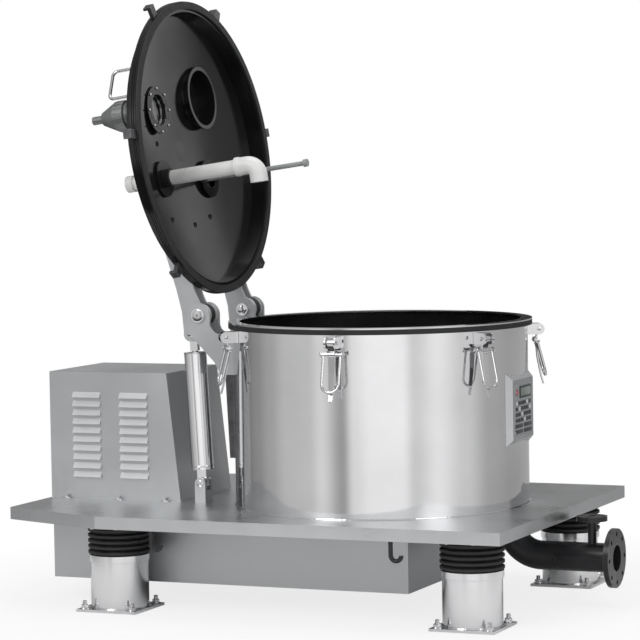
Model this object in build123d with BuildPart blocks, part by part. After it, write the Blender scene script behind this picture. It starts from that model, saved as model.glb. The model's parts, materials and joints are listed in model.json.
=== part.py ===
from build123d import *
import math
import os

# Flat-plate basket centrifuge with a flip lid, standing with the lid open.
# Millimetres. X runs along the base plate towards the discharge pipe, Y to the back, Z up.
# The origin lies on the floor, midway between the four feet.

os.makedirs("parts", exist_ok=True)

# Gaps between pieces
seat_gap = 0.3
running_clearance = 0.05
swing_clearance = 5

# Feet
foot_span_x = 1404
foot_span_y = 1082
foot_plate_size = 244
foot_plate_thickness = 10
foot_bolt_spacing = 196
foot_bolt_hole = 18
foot_tube_diameter = 216
foot_tube_height = 174
foot_collar_height = 24
foot_collar_overhang = 5
damper_post_diameter = 90
bellows_height = 104
bellows_diameter = 232
bellows_folds = 5
bellows_fold_depth = 14
bellows_wall = 5
bellows_flange_thickness = 8
bellows_flange_inset = 3

# Base plate
deck_length = 2028
deck_depth = 1430
deck_thickness = 46
deck_right_overhang = 168
deck_cut_along = 446
deck_cut_across = 163

# Belt guard under the base plate
guard_left_inset = 102
guard_length = 1457
guard_depth = 800
guard_height = 236
guard_wall = 4

# Drum casing
drum_setback = 729
drum_radius = 555
drum_height = 687
drum_wall = 5
drum_floor_thickness = 6
lining_thickness = 3
rim_band_height = 19
rim_overhang = 17.5
rim_ring_width = 42.5
rim_ring_thickness = 5

# Basket, spindle and bearing
basket_radius = 400
basket_height = 450
basket_wall = 6
basket_lip_width = 90
basket_lift = 134
hub_base_radius = 170
hub_top_radius = 60
hub_height = 100
spindle_diameter = 70
bearing_base_radius = 200
bearing_base_thickness = 20
bearing_top_radius = 100
bearing_height = 108

# Motor cover
cover_left_inset = 0
cover_top_length = 506
cover_bottom_length = 558
cover_depth = 450
cover_height = 490
cover_wall = 3
louvre_length = 119
louvre_height = 21
louvre_reach = 13
louvre_wall = 2
louvre_pitch = 34.2
louvre_rows = 10
louvre_columns = (162, 365)
louvre_top_drop = 88

# Control panel
panel_width = 222
panel_height = 220
panel_centre_height = 366
panel_reach = 12
panel_root_depth = 38
panel_taper_side = 18
panel_taper_end = 38
keypad_width = 196
keypad_height = 190
keypad_recess = 3
keypad_thickness = 2.5

# Lid hinge, on a pair of brackets beside the drum
hinge_reach = 639
hinge_rise = 22
hinge_offset = 203
bracket_plate_gap = 74
bracket_plate_thickness = 10
bracket_round = 46
bracket_height = 223
bracket_shoulder_drop = 70
bracket_depth = 200
bracket_heel = 64
bracket_throat = 39
bracket_toe = 88
spine_height = 319
spine_width = 12
spine_top_reach = 34
spine_foot_reach = 20
hinge_pin_diameter = 30
hinge_pin_head_radius = 27
hinge_pin_head_thickness = 8
hinge_pin_nut_radius = 24
hinge_pin_nut_thickness = 18

# Lid
lid_open_angle = 97.7
lid_face_gap = 14
lid_radius = 567
lid_rim_height = 26
lid_rim_wall = 4
rim_groove_low = 6
rim_groove_high = 14
rim_groove_height = 3
rim_groove_depth = 3
lid_wall_radius = 526
lid_floor_radius = 518
lid_wall_height = 57
lid_dome_rise = 54
lid_crown_radius = 40
lid_sheet = 4
gasket_width = 28
gasket_thickness = 8
gasket_centre_radius = 551
port_row_offset = 187
sight_port_x = 157
hand_hole_x = 205
feed_port_x = -106
feed_port_y = -203
wash_port_x = -112
sight_port_radius = 60
sight_ring_radius = 92
hand_hole_radius = 109
hand_hole_cover_radius = 128
hand_hole_ring_radius = 123
feed_ring_radius = 70
wash_port_radius = 38
wash_ring_radius = 74
port_wall = 6
port_ring_thickness = 6
port_neck_height = 34
glass_thickness = 10
lid_handle_angle = -58.3
lid_handle_radius = 490
lid_handle_span = 123
lid_handle_height = 84
lid_handle_rod = 12
lid_handle_corner = 20

# Lid arms
arm_plate_thickness = 10
arm_hub_radius = 44
arm_tail_x = -66
arm_tail_rise = 51.5
arm_tail_radius = 28
arm_length = 329
arm_back_rise = 84
arm_end_rise = 119
arm_spacer_diameter = 30

# Inspection lamp on the sight glass
lamp_flange_thickness = 8
lamp_neck_radius = 45
lamp_neck_height = 70
lamp_body_radius = 58
lamp_body_height = 105
lamp_tip_radius = 26
lamp_nozzle_radius = 16
lamp_nozzle_height = 46

# Feed pipe and wash tube on the lid
feed_pipe_radius = 28
feed_pipe_wall = 4
feed_pipe_outside = 248
feed_elbow_depth = 300
feed_elbow_radius = 34
feed_elbow_bend = 42
feed_elbow_socket = 86
feed_elbow_reach = 68
feed_cap_height = 30
wash_tube_radius = 9.5
wash_tube_outside = 150
wash_tube_depth = 335
wash_collar_radius = 15
wash_collar_length = 16

# Balance struts
strut_foot_back = 14
strut_foot_rise = 72
strut_foot_width = 44
strut_foot_depth = 64
strut_slot = 36
strut_pin_diameter = 24
strut_eye_radius = 19
strut_eye_thickness = 24
strut_tube_diameter = 85
strut_tube_wall = 4
strut_tube_start = 54
strut_tube_gap = 70.6
strut_cap_thickness = 8
strut_rod_diameter = 24
strut_rod_overlap = 300
strut_fork_width = 31
strut_fork_thickness = 20
strut_fork_length = 64.6
strut_eye_pin_diameter = 20

# Toggle latches
latch_pitch = 56.5
latch_drop = 45
ear_length = 68
ear_height = 42
ear_thickness = 6
ear_outer_width = 42
ear_back_thickness = 6
latch_pin_out = 46
latch_pin_diameter = 10
lever_width = 26
lever_hub_radius = 11
lever_cross_in = 9
lever_cross_down = 42
lever_cross_hub = 12
lever_strip = 5
lever_tip_width = 15
lever_length = 208
lever_bow_out = 18
bail_rod = 10
bail_width = 64
bail_length = 138
bail_lean = 14.6
bail_cross_diameter = 14
bail_cross_length = 82
lug_width = 34
lug_reach = 45.5
lug_height = 16
lug_lip_height = 32
lug_lip_thickness = 10

# Discharge pipe under the base plate
pipe_y = 70
pipe_root_inset = 245
pipe_axis_height = 177
pipe_radius = 54
pipe_wall = 5
pipe_bend = 125
pipe_end_reach = 172
flange_radius = 110
flange_thickness = 20
flange_bolt_circle = 180
flange_bolt_hole = 18
flange_bolts = 8
root_flange_radius = 95
root_flange_thickness = 12
riser_reach = 77
riser_radius = 16
riser_wall = 3
riser_top = 331
riser_flange_radius = 57
riser_flange_thickness = 18
riser_bolt_circle = 84
riser_bolt_hole = 12
riser_bolts = 4

# Tie-down hooks under the front and back edges
hook_rod = 16
hook_drop = 78
hook_radius = 20
hook_inset = 12
hook_left_inset = 672
hook_right_inset = 413

# Heights and places that follow
foot_top = foot_tube_height + foot_plate_thickness + foot_collar_height
deck_bottom = foot_top + bellows_height + bellows_flange_thickness
deck_top = deck_bottom + deck_thickness
deck_right = foot_span_x / 2 + deck_right_overhang
deck_left = deck_right - deck_length
drum_top = deck_top + drum_height
rim_top = drum_top + rim_ring_thickness
rim_radius = drum_radius + rim_overhang
basket_floor = deck_top + basket_lift
basket_top = basket_floor + basket_height
drum_x = deck_right - drum_setback
hinge_x = drum_x - hinge_reach
hinge_z = rim_top + hinge_rise
lid_face_rise = lid_face_gap - hinge_rise
strut_foot_x = hinge_x - strut_foot_back
pipe_root_x = deck_right - pipe_root_inset
pipe_end_x = deck_right + pipe_end_reach
riser_x = deck_right + riser_reach
hook_places = (deck_left + hook_left_inset, deck_right - hook_right_inset)
hinge_stack = bracket_plate_gap / 2 + bracket_plate_thickness
arm_outer = bracket_plate_gap / 2 - swing_clearance
arm_inner = arm_outer - arm_plate_thickness

foot_places = [(sx * foot_span_x / 2, sy * foot_span_y / 2) for sx in (-1, 1) for sy in (-1, 1)]
sides = (-1, 1)
latch_angles = [latch_pitch * (step - 2.5) for step in range(6)]


def upright(x, y):
    """Vertical section plane through (x, y), its sketch running along X and Z."""
    return Plane((x, y, 0), x_dir=(1, 0, 0), z_dir=(0, -1, 0))


def radial(angle):
    """Vertical section plane out of the drum's axis, its sketch running outwards and up."""
    c, s = math.cos(math.radians(angle)), math.sin(math.radians(angle))
    return Plane((drum_x, 0, 0), x_dir=(c, s, 0), z_dir=(s, -c, 0))


# The lid's own directions in the open pose: along it away from the hinge, and out of its top.
lid_cos = math.cos(math.radians(lid_open_angle))
lid_sin = math.sin(math.radians(lid_open_angle))
lid_along = Vector(lid_cos, 0, lid_sin)
lid_out = Vector(-lid_sin, 0, lid_cos)
hinge_point = Vector(hinge_x, 0, hinge_z)
lid_centre = hinge_point + lid_along * hinge_reach + lid_out * lid_face_rise
lid_axis = Axis(lid_centre, lid_out)


def lid_plane(x, y, height=0):
    """Plane across the lid at (x, y) from its centre, raised out of its face by height."""
    origin = lid_centre + lid_along * x + Vector(0, y, 0) + lid_out * height
    return Plane(origin, x_dir=lid_along, z_dir=lid_out)


def lid_section(x=0, y=0):
    """Section plane square to the hinge, its sketch running along the lid and out of its top."""
    return Plane(lid_centre + lid_along * x + Vector(0, y, 0), x_dir=lid_along, z_dir=(0, -1, 0))


def dome_height(radius):
    """Height of the dome's inner face over the lid's face at a radius."""
    sphere = (lid_floor_radius**2 + lid_dome_rise**2) / (2 * lid_dome_rise)
    drop = sphere - math.sqrt(sphere**2 - radius**2)
    return lid_wall_height + lid_dome_rise - drop


dome_foot = dome_height(lid_floor_radius)
dome_mid = dome_height(lid_floor_radius / 2)
dome_top = dome_height(lid_crown_radius)


# The room the lid's shell takes, with the seat gap round it; what stands on the lid is cut to this.
with BuildPart() as lid_room:
    with BuildSketch(lid_section()):
        with BuildLine():
            Line((0, dome_top + lid_sheet + seat_gap), (lid_crown_radius, dome_top + lid_sheet + seat_gap))
            ThreePointArc((lid_crown_radius, dome_top + lid_sheet + seat_gap),
                          (lid_floor_radius / 2, dome_mid + lid_sheet + seat_gap),
                          (lid_floor_radius + lid_sheet + seat_gap, dome_foot + lid_sheet + seat_gap))
            Polyline(
                (lid_floor_radius + lid_sheet + seat_gap, dome_foot + lid_sheet + seat_gap),
                (lid_floor_radius + lid_sheet + 1 + seat_gap, lid_rim_height + seat_gap),
                (lid_radius + seat_gap, lid_rim_height + seat_gap),
                (lid_radius + seat_gap, -lid_rim_height),
                (0, -lid_rim_height),
                (0, dome_top + lid_sheet + seat_gap),
            )
        make_face()
    revolve(axis=lid_axis)


# Feet: a bolted plate, a closed tube, a collar and the damper's post inside the bellows
with BuildPart() as feet:
    for x, y in foot_places:
        with BuildSketch(Plane((x, y, 0))):
            Rectangle(foot_plate_size, foot_plate_size)
            with GridLocations(foot_bolt_spacing, foot_bolt_spacing, 2, 2):
                Circle(foot_bolt_hole / 2, mode=Mode.SUBTRACT)
        extrude(amount=foot_plate_thickness)
        with BuildSketch(upright(x, y)):
            with BuildLine():
                Polyline(
                    (0, foot_plate_thickness),
                    (foot_tube_diameter / 2, foot_plate_thickness),
                    (foot_tube_diameter / 2, foot_top - foot_collar_height),
                    (foot_tube_diameter / 2 + foot_collar_overhang, foot_top - foot_collar_height),
                    (foot_tube_diameter / 2 + foot_collar_overhang, foot_top),
                    (damper_post_diameter / 2, foot_top),
                    (damper_post_diameter / 2, foot_top + bellows_height),
                    (0, foot_top + bellows_height),
                    close=True,
                )
            make_face()
        revolve(axis=Axis((x, y, 0), (0, 0, 1)))
feet.part.label = "feet"
export_step(feet.part, "parts/feet.step")

# Bellows round the dampers
fold_height = bellows_height / bellows_folds
fold_crest = bellows_diameter / 2
fold_valley = fold_crest - bellows_fold_depth
with BuildPart() as bellows:
    for x, y in foot_places:
        with BuildSketch(upright(x, y)):
            with BuildLine():
                outline = [(fold_valley - bellows_wall, foot_top), (fold_valley, foot_top)]
                for fold in range(bellows_folds):
                    low = foot_top + fold * fold_height
                    outline.append((fold_crest, low + fold_height * 0.3))
                    outline.append((fold_crest, low + fold_height * 0.7))
                    outline.append((fold_valley, low + fold_height))
                outline.append((fold_valley - bellows_wall, foot_top + bellows_height))
                Polyline(*outline, close=True)
            make_face()
        revolve(axis=Axis((x, y, 0), (0, 0, 1)))
bellows.part.label = "bellows"
export_step(bellows.part, "parts/bellows.step")

# Flanges between the dampers and the base plate
with BuildPart() as damper_flanges:
    with BuildSketch(Plane.XY.offset(deck_bottom - bellows_flange_thickness)):
        with Locations(*foot_places):
            Circle(bellows_diameter / 2 - bellows_flange_inset)
    extrude(amount=bellows_flange_thickness)
damper_flanges.part.label = "damper_flanges"
export_step(damper_flanges.part, "parts/damper_flanges.step")

# Base plate with its left corners cut off, bored for the drum's outlet
with BuildPart() as base_plate:
    with BuildSketch(Plane.XY.offset(deck_bottom)):
        with BuildLine():
            Polyline(
                (deck_left, -deck_depth / 2 + deck_cut_across),
                (deck_left + deck_cut_along, -deck_depth / 2),
                (deck_right, -deck_depth / 2),
                (deck_right, deck_depth / 2),
                (deck_left + deck_cut_along, deck_depth / 2),
                (deck_left, deck_depth / 2 - deck_cut_across),
                close=True,
            )
        make_face()
        with Locations((pipe_root_x, pipe_y)):
            Circle(pipe_radius - pipe_wall, mode=Mode.SUBTRACT)
    extrude(amount=deck_thickness)
base_plate.part.label = "base_plate"
export_step(base_plate.part, "parts/base_plate.step")

# Belt guard: a sheet tray hung under the base plate
guard_centre_x = deck_left + guard_left_inset + guard_length / 2
with BuildPart() as belt_guard:
    with BuildSketch(Plane.XY.offset(deck_bottom - guard_height)):
        with Locations((guard_centre_x, 0)):
            Rectangle(guard_length, guard_depth)
    extrude(amount=guard_height)
    offset(amount=-guard_wall, openings=belt_guard.faces().sort_by(Axis.Z)[-1])
belt_guard.part.label = "belt_guard"
export_step(belt_guard.part, "parts/belt_guard.step")

# Drum casing: a cylinder with a floor, bored over the outlet and for the bearing
with BuildPart() as drum_shell:
    with BuildSketch(Plane.XY.offset(deck_top)):
        with Locations((drum_x, 0)):
            Circle(drum_radius)
    extrude(amount=drum_height)
    with BuildSketch(Plane.XY.offset(deck_top + drum_floor_thickness)):
        with Locations((drum_x, 0)):
            Circle(drum_radius - drum_wall)
    extrude(amount=drum_height, mode=Mode.SUBTRACT)
    with BuildSketch(Plane.XY.offset(deck_top)):
        with Locations((pipe_root_x, pipe_y)):
            Circle(pipe_radius - pipe_wall)
    extrude(amount=drum_floor_thickness, mode=Mode.SUBTRACT)
drum_shell.part.label = "drum_shell"
export_step(drum_shell.part, "parts/drum_shell.step")

# Lining inside the casing
lining_radius = drum_radius - drum_wall - seat_gap
with BuildPart() as drum_lining:
    with BuildSketch(Plane.XY.offset(deck_top + drum_floor_thickness)):
        with Locations((drum_x, 0)):
            Circle(lining_radius)
            Circle(bearing_base_radius + seat_gap, mode=Mode.SUBTRACT)
        with Locations((pipe_root_x, pipe_y)):
            Circle(pipe_radius - pipe_wall, mode=Mode.SUBTRACT)
    extrude(amount=lining_thickness)
    with BuildSketch(Plane.XY.offset(deck_top + drum_floor_thickness)):
        with Locations((drum_x, 0)):
            Circle(lining_radius)
            Circle(lining_radius - lining_thickness, mode=Mode.SUBTRACT)
    extrude(amount=drum_height - drum_floor_thickness)
drum_lining.part.label = "drum_lining"
export_step(drum_lining.part, "parts/drum_lining.step")

# Dark band round the drum's top and the bright ring over it
with BuildPart() as rim_band:
    with BuildSketch(Plane.XY.offset(drum_top - rim_band_height)):
        with Locations((drum_x, 0)):
            Circle(rim_radius)
            Circle(drum_radius + seat_gap, mode=Mode.SUBTRACT)
    extrude(amount=rim_band_height)
rim_band.part.label = "rim_band"
export_step(rim_band.part, "parts/rim_band.step")

with BuildPart() as rim_ring:
    with BuildSketch(Plane.XY.offset(drum_top)):
        with Locations((drum_x, 0)):
            Circle(rim_radius)
            Circle(rim_radius - rim_ring_width, mode=Mode.SUBTRACT)
    extrude(amount=rim_ring_thickness)
rim_ring.part.label = "rim_ring"
export_step(rim_ring.part, "parts/rim_ring.step")

# Bearing housing on the casing's floor
bearing_floor = deck_top + drum_floor_thickness
with BuildPart() as bearing_housing:
    with BuildSketch(upright(drum_x, 0)):
        with BuildLine():
            Polyline(
                (spindle_diameter / 2 + running_clearance, bearing_floor),
                (bearing_base_radius, bearing_floor),
                (bearing_base_radius, bearing_floor + bearing_base_thickness),
                (bearing_top_radius, bearing_floor + bearing_height),
                (spindle_diameter / 2 + running_clearance, bearing_floor + bearing_height),
                close=True,
            )
        make_face()
    revolve(axis=Axis((drum_x, 0, 0), (0, 0, 1)))
bearing_housing.part.label = "bearing_housing"
export_step(bearing_housing.part, "parts/bearing_housing.step")

# Basket: floor, wall and lip
with BuildPart() as basket:
    with BuildSketch(upright(drum_x, 0)):
        with BuildLine():
            Polyline(
                (spindle_diameter / 2 + running_clearance, basket_floor),
                (basket_radius, basket_floor),
                (basket_radius, basket_top),
                (basket_radius - basket_lip_width, basket_top),
                (basket_radius - basket_lip_width, basket_top - basket_wall),
                (basket_radius - basket_wall, basket_top - basket_wall),
                (basket_radius - basket_wall, basket_floor + basket_wall),
                (spindle_diameter / 2 + running_clearance, basket_floor + basket_wall),
                close=True,
            )
        make_face()
    revolve(axis=Axis((drum_x, 0, 0), (0, 0, 1)))
basket.part.label = "basket"
export_step(basket.part, "parts/basket.step")

# Spindle with the conical hub that clamps the basket's floor
hub_floor = basket_floor + basket_wall
with BuildPart() as spindle:
    with BuildSketch(upright(drum_x, 0)):
        with BuildLine():
            Polyline(
                (0, bearing_floor + swing_clearance),
                (spindle_diameter / 2, bearing_floor + swing_clearance),
                (spindle_diameter / 2, hub_floor),
                (hub_base_radius, hub_floor),
                (hub_top_radius, hub_floor + hub_height),
                (0, hub_floor + hub_height),
                close=True,
            )
        make_face()
    revolve(axis=Axis((drum_x, 0, 0), (0, 0, 1)))
spindle.part.label = "spindle"
export_step(spindle.part, "parts/spindle.step")

# Motor cover: a folded sheet box with pressed louvres on its front and back
cover_left = deck_left + cover_left_inset
cover_top = deck_top + cover_height
with BuildPart() as motor_cover:
    with BuildSketch(Plane.XZ):
        with BuildLine():
            Polyline(
                (cover_left, deck_top),
                (cover_left + cover_bottom_length, deck_top),
                (cover_left + cover_top_length, cover_top),
                (cover_left, cover_top),
                close=True,
            )
        make_face()
    extrude(amount=cover_depth / 2, both=True)
    offset(amount=-cover_wall, openings=motor_cover.faces().sort_by(Axis.Z)[0])
    louvre_rows_z = [(0, cover_top - louvre_top_drop - row * louvre_pitch) for row in range(louvre_rows)]
    for column in louvre_columns:
        start = cover_left + column - louvre_length / 2
        for face in (-cover_depth / 2, cover_depth / 2):
            out = math.copysign(louvre_reach, face)
            skin = math.copysign(louvre_wall, face)
            hood = Plane.YZ.offset(start)
            with BuildSketch(hood):
                with Locations(*louvre_rows_z):
                    Polygon((face, louvre_height / 2), (face + out, -louvre_height / 2),
                            (face, -louvre_height / 2), align=None)
            extrude(amount=louvre_length)
            with BuildSketch(hood.offset(louvre_wall)):
                with Locations(*louvre_rows_z):
                    Polygon((face, louvre_height / 2 - 2 * louvre_wall), (face + out - skin, -louvre_height / 2),
                            (face - 2 * skin, -louvre_height / 2),
                            (face - 2 * skin, louvre_height / 2 - 2 * louvre_wall), align=None)
            extrude(amount=louvre_length - 2 * louvre_wall, mode=Mode.SUBTRACT)
motor_cover.part.label = "motor_cover"
export_step(motor_cover.part, "parts/motor_cover.step")

# Control panel housing, tapered towards its face and hollowed to the drum's curve
panel_face_x = drum_x + drum_radius + panel_reach
panel_z = deck_top + panel_centre_height
with BuildPart() as panel_housing:
    with BuildSketch(Plane.YZ.offset(panel_face_x - panel_root_depth)):
        with Locations((0, panel_z)):
            Rectangle(panel_width + 2 * panel_taper_side, panel_height + 2 * panel_taper_end)
    with BuildSketch(Plane.YZ.offset(panel_face_x)):
        with Locations((0, panel_z)):
            Rectangle(panel_width, panel_height)
    loft()
    with BuildSketch(Plane.YZ.offset(panel_face_x)):
        with Locations((0, panel_z)):
            Rectangle(keypad_width, keypad_height)
    extrude(amount=-keypad_recess, mode=Mode.SUBTRACT)
    with BuildSketch(Plane.XY.offset(deck_top)):
        with Locations((drum_x, 0)):
            Circle(drum_radius + seat_gap)
    extrude(amount=drum_height, mode=Mode.SUBTRACT)
panel_housing.part.label = "panel_housing"
export_step(panel_housing.part, "parts/panel_housing.step")

with BuildPart() as keypad:
    with BuildSketch(Plane.YZ.offset(panel_face_x - keypad_recess)):
        with Locations((0, panel_z)):
            Rectangle(keypad_width - 2 * seat_gap, keypad_height - 2 * seat_gap)
    extrude(amount=keypad_thickness)
keypad.part.label = "keypad"
export_step(keypad.part, "parts/keypad.step")

# Hinge brackets: a pad on the drum with two plates that carry the pin
with BuildPart() as hinge_brackets:
    for sign in sides:
        middle = sign * hinge_offset
        for low in (-hinge_stack, bracket_plate_gap / 2):
            with BuildSketch(upright(hinge_x, middle + low + bracket_plate_thickness)):
                with BuildLine():
                    Polyline(
                        (-bracket_round, hinge_z),
                        (-bracket_round, hinge_z - bracket_heel),
                        (bracket_heel, hinge_z - bracket_height + bracket_round),
                        (bracket_toe, hinge_z - bracket_height),
                        (bracket_depth, hinge_z - bracket_height),
                        (bracket_depth, hinge_z - bracket_shoulder_drop),
                        (bracket_toe, hinge_z - bracket_shoulder_drop),
                    )
                    RadiusArc((bracket_toe, hinge_z - bracket_shoulder_drop),
                              (bracket_round, hinge_z - bracket_shoulder_drop / 2), bracket_throat)
                    Line((bracket_round, hinge_z - bracket_shoulder_drop / 2), (bracket_round, hinge_z))
                    ThreePointArc((bracket_round, hinge_z), (0, hinge_z + bracket_round), (-bracket_round, hinge_z))
                make_face()
                with Locations((0, hinge_z)):
                    Circle(hinge_pin_diameter / 2 + running_clearance, mode=Mode.SUBTRACT)
            extrude(amount=bracket_plate_thickness)
        with BuildSketch(Plane.XZ.offset(-middle)):
            with Locations((hinge_x + (bracket_toe + bracket_depth) / 2,
                            hinge_z - (bracket_height + bracket_shoulder_drop) / 2)):
                Rectangle(bracket_depth - bracket_toe, bracket_height - bracket_shoulder_drop)
        extrude(amount=hinge_stack, both=True)
        with BuildSketch(Plane.XY.offset(hinge_z - bracket_height)):
            with Locations((drum_x, 0)):
                Circle(drum_radius + seat_gap)
        extrude(amount=bracket_height, mode=Mode.SUBTRACT)
hinge_brackets.part.label = "hinge_brackets"
export_step(hinge_brackets.part, "parts/hinge_brackets.step")

# Spines: upright strips on the drum below the brackets, deeper at the top
spine_top = hinge_z - bracket_height - seat_gap
with BuildPart() as spines:
    for sign in sides:
        wall_x = drum_x - math.sqrt(drum_radius**2 - hinge_offset**2)
        with BuildSketch(upright(0, sign * hinge_offset)):
            Polygon((wall_x + spine_width, spine_top), (wall_x - spine_top_reach, spine_top),
                    (wall_x - spine_foot_reach, spine_top - spine_height),
                    (wall_x + spine_width, spine_top - spine_height), align=None)
        extrude(amount=spine_width / 2, both=True)
    with BuildSketch(Plane.XY.offset(deck_top)):
        with Locations((drum_x, 0)):
            Circle(drum_radius + seat_gap)
    extrude(amount=drum_height, mode=Mode.SUBTRACT)
spines.part.label = "spines"
export_step(spines.part, "parts/spines.step")

# Hinge pins, with a head on the outer side and a nut on the inner side
with BuildPart() as hinge_pins:
    for sign in sides:
        middle = sign * hinge_offset
        outer = sign * (hinge_stack + seat_gap)
        for radius, start, end in (
            (hinge_pin_diameter / 2, -outer, outer),
            (hinge_pin_head_radius, outer, outer + sign * hinge_pin_head_thickness),
            (hinge_pin_nut_radius, -outer, -outer - sign * hinge_pin_nut_thickness),
        ):
            with BuildSketch(upright(hinge_x, middle + start)):
                with Locations((0, hinge_z)):
                    Circle(radius)
            extrude(amount=start - end)
hinge_pins.part.label = "hinge_pins"
export_step(hinge_pins.part, "parts/hinge_pins.step")

# Lid: a dished sheet with a flange, drawn as half a section and turned about its axis
with BuildPart() as lid_shell:
    with BuildSketch(lid_section()):
        with BuildLine():
            Line((0, dome_top), (lid_crown_radius, dome_top))
            ThreePointArc((lid_crown_radius, dome_top), (lid_floor_radius / 2, dome_mid),
                          (lid_floor_radius, dome_foot))
            Line((lid_floor_radius, dome_foot), (lid_wall_radius, 0))
            Line((lid_wall_radius, 0), (lid_wall_radius + lid_sheet, 0))
            Line((lid_wall_radius + lid_sheet, 0), (lid_floor_radius + lid_sheet + 2, lid_rim_height - lid_rim_wall))
            Line((lid_floor_radius + lid_sheet + 2, lid_rim_height - lid_rim_wall),
                 (lid_radius, lid_rim_height - lid_rim_wall))
            Line((lid_radius, lid_rim_height - lid_rim_wall), (lid_radius, lid_rim_height))
            Line((lid_radius, lid_rim_height), (lid_floor_radius + lid_sheet + 1, lid_rim_height))
            Line((lid_floor_radius + lid_sheet + 1, lid_rim_height),
                 (lid_floor_radius + lid_sheet, dome_foot + lid_sheet))
            ThreePointArc((lid_floor_radius + lid_sheet, dome_foot + lid_sheet),
                          (lid_floor_radius / 2, dome_mid + lid_sheet), (lid_crown_radius, dome_top + lid_sheet))
            Line((lid_crown_radius, dome_top + lid_sheet), (0, dome_top + lid_sheet))
            Line((0, dome_top + lid_sheet), (0, dome_top))
        make_face()
    revolve(axis=lid_axis)
    for x, y, radius in (
        (sight_port_x, -port_row_offset, sight_port_radius + port_wall),
        (hand_hole_x, port_row_offset, hand_hole_radius + port_wall),
        (feed_port_x, feed_port_y, feed_pipe_radius + seat_gap + port_wall),
        (wash_port_x, port_row_offset, wash_port_radius + port_wall),
    ):
        with BuildSketch(lid_plane(x, y)):
            Circle(radius + seat_gap)
        extrude(amount=dome_top + 2 * lid_sheet, mode=Mode.SUBTRACT)
lid_shell.part.label = "lid_shell"
export_step(lid_shell.part, "parts/lid_shell.step")

# Ring under the lid's flange, grooved round its outer side
with BuildPart() as lid_rim:
    with BuildSketch(lid_plane(0, 0)):
        Circle(lid_radius)
        Circle(lid_wall_radius + lid_sheet + seat_gap, mode=Mode.SUBTRACT)
    extrude(amount=lid_rim_height - lid_rim_wall - seat_gap)
    for height in (rim_groove_low, rim_groove_high):
        with BuildSketch(lid_plane(0, 0, height)):
            Circle(lid_radius + 1)
            Circle(lid_radius - rim_groove_depth, mode=Mode.SUBTRACT)
        extrude(amount=rim_groove_height, mode=Mode.SUBTRACT)
lid_rim.part.label = "lid_rim"
export_step(lid_rim.part, "parts/lid_rim.step")

with BuildPart() as lid_gasket:
    with BuildSketch(lid_plane(0, 0, -seat_gap)):
        Circle(gasket_centre_radius + gasket_width / 2)
        Circle(gasket_centre_radius - gasket_width / 2, mode=Mode.SUBTRACT)
    extrude(amount=-gasket_thickness)
lid_gasket.part.label = "lid_gasket"
export_step(lid_gasket.part, "parts/lid_gasket.step")

# Ports through the lid: a neck with a flat ring on the inner side
neck_top = dome_top + port_neck_height
for label, x, y, hole, ring in (
    ("sight_port", sight_port_x, -port_row_offset, sight_port_radius, sight_ring_radius),
    ("hand_hole", hand_hole_x, port_row_offset, hand_hole_radius, hand_hole_ring_radius),
    ("feed_port", feed_port_x, feed_port_y, feed_pipe_radius + seat_gap, feed_ring_radius),
    ("wash_port", wash_port_x, port_row_offset, wash_port_radius, wash_ring_radius),
):
    ring_top = dome_height(math.hypot(x, y) + ring) - seat_gap
    with BuildPart() as port:
        with BuildSketch(lid_plane(x, y, ring_top - port_ring_thickness)):
            Circle(hole + port_wall)
            Circle(hole, mode=Mode.SUBTRACT)
        extrude(amount=neck_top - ring_top + port_ring_thickness)
        with BuildSketch(lid_plane(x, y, ring_top - port_ring_thickness)):
            Circle(ring)
            Circle(hole, mode=Mode.SUBTRACT)
        extrude(amount=port_ring_thickness)
        if label == "wash_port":
            with BuildSketch(lid_plane(x, y, neck_top - port_ring_thickness)):
                Circle(hole + port_wall)
                Circle(wash_tube_radius + running_clearance, mode=Mode.SUBTRACT)
            extrude(amount=port_ring_thickness)
    port.part.label = label
    export_step(port.part, f"parts/{label}.step")

with BuildPart() as sight_glass:
    with BuildSketch(lid_plane(sight_port_x, -port_row_offset, dome_top - glass_thickness)):
        Circle(sight_port_radius - seat_gap)
    extrude(amount=glass_thickness)
sight_glass.part.label = "sight_glass"
export_step(sight_glass.part, "parts/sight_glass.step")

with BuildPart() as hand_hole_cover:
    with BuildSketch(lid_plane(hand_hole_x, port_row_offset, neck_top + seat_gap)):
        Circle(hand_hole_cover_radius)
    extrude(amount=glass_thickness)
hand_hole_cover.part.label = "hand_hole_cover"
export_step(hand_hole_cover.part, "parts/hand_hole_cover.step")

# Inspection lamp over the sight glass
lamp_floor = neck_top + seat_gap
with BuildPart() as lamp:
    with BuildSketch(lid_section(sight_port_x, -port_row_offset)):
        with BuildLine():
            Polyline(
                (0, lamp_floor),
                (sight_port_radius + port_wall, lamp_floor),
                (sight_port_radius + port_wall, lamp_floor + lamp_flange_thickness),
                (lamp_neck_radius, lamp_floor + lamp_flange_thickness),
                (lamp_neck_radius, lamp_floor + lamp_neck_height),
                (lamp_body_radius, lamp_floor + lamp_neck_height),
                (lamp_body_radius, lamp_floor + lamp_neck_height + lamp_body_height * 0.4),
                (lamp_tip_radius, lamp_floor + lamp_neck_height + lamp_body_height),
                (lamp_nozzle_radius, lamp_floor + lamp_neck_height + lamp_body_height),
                (lamp_nozzle_radius, lamp_floor + lamp_neck_height + lamp_body_height + lamp_nozzle_height),
                (0, lamp_floor + lamp_neck_height + lamp_body_height + lamp_nozzle_height),
                close=True,
            )
        make_face()
    revolve(axis=Axis(lid_plane(sight_port_x, -port_row_offset).origin, lid_out))
lamp.part.label = "lamp"
export_step(lamp.part, "parts/lamp.step")

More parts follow.
